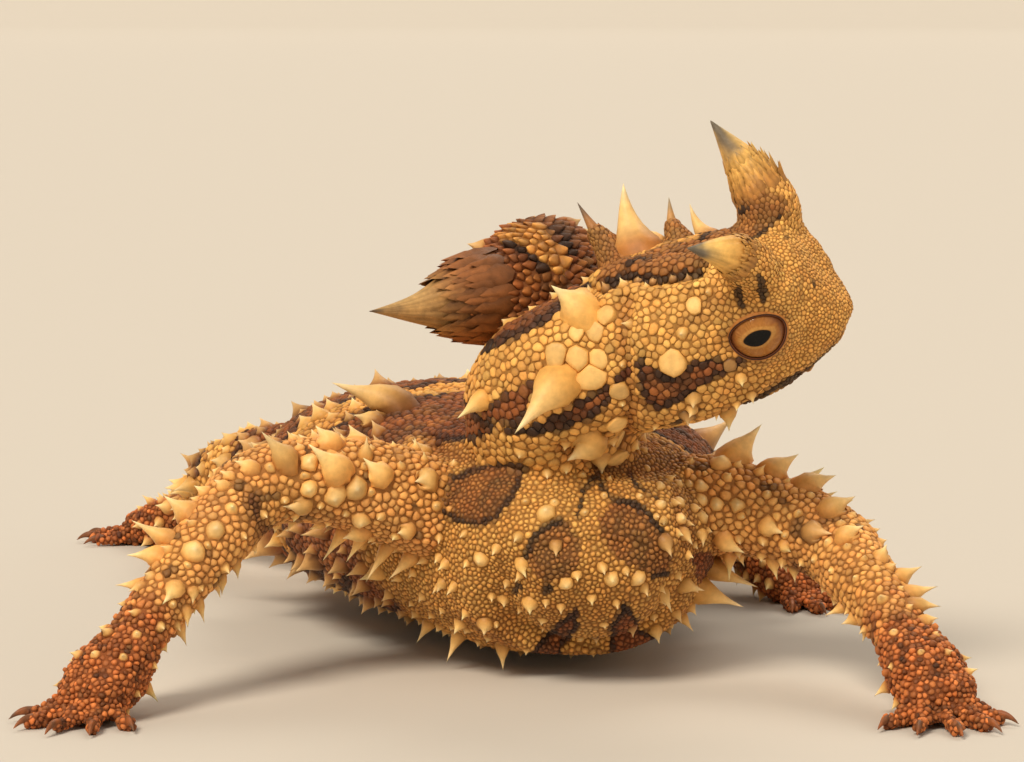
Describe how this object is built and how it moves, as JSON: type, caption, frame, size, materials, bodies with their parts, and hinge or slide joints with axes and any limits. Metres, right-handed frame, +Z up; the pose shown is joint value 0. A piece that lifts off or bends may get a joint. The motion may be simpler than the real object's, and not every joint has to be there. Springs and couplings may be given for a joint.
{
  "type": "thorny devil lizard",
  "caption": "Life-size thorny devil lizard standing on spread legs with its head raised and turned to its left, covered in pale conical spines over ochre and rust-brown hide",
  "frame": {"origin": "middle of the whole box in plan, on the floor under the feet", "axes": "+Z up; the animal faces -Y and its tail runs toward +Y; +X is toward its own left, where its head turns"},
  "size_m": [0.0868, 0.1594, 0.0476],
  "materials": {
    "hide": "dry granular scales, sandy ochre with rust-brown blotches",
    "dark_hide": "dry scales, rust brown",
    "dusty_hide": "dry scales dusted with red sand",
    "horn": "dry pale horn with a dark tip",
    "eye": "wet gloss, amber iris with a dark slit pupil"
  },
  "bodies": {
    "root": {"head": "hide", "horn_right": "horn", "horn_left": "horn", "eye_right": "eye", "eye_left": "eye", "neck": "hide", "torso": "hide", "tail_base": "hide", "tail_middle": "hide", "tail_tip": "hide", "nape_knob": "dark_hide", "upper_arm_right": "hide", "forearm_right": "hide", "hand_right": "dusty_hide", "thigh_right": "hide", "shin_right": "hide", "foot_right": "dusty_hide", "upper_arm_left": "hide", "forearm_left": "hide", "hand_left": "dusty_hide", "thigh_left": "hide", "shin_left": "hide", "foot_left": "dusty_hide"}
  },
  "joints": []
}
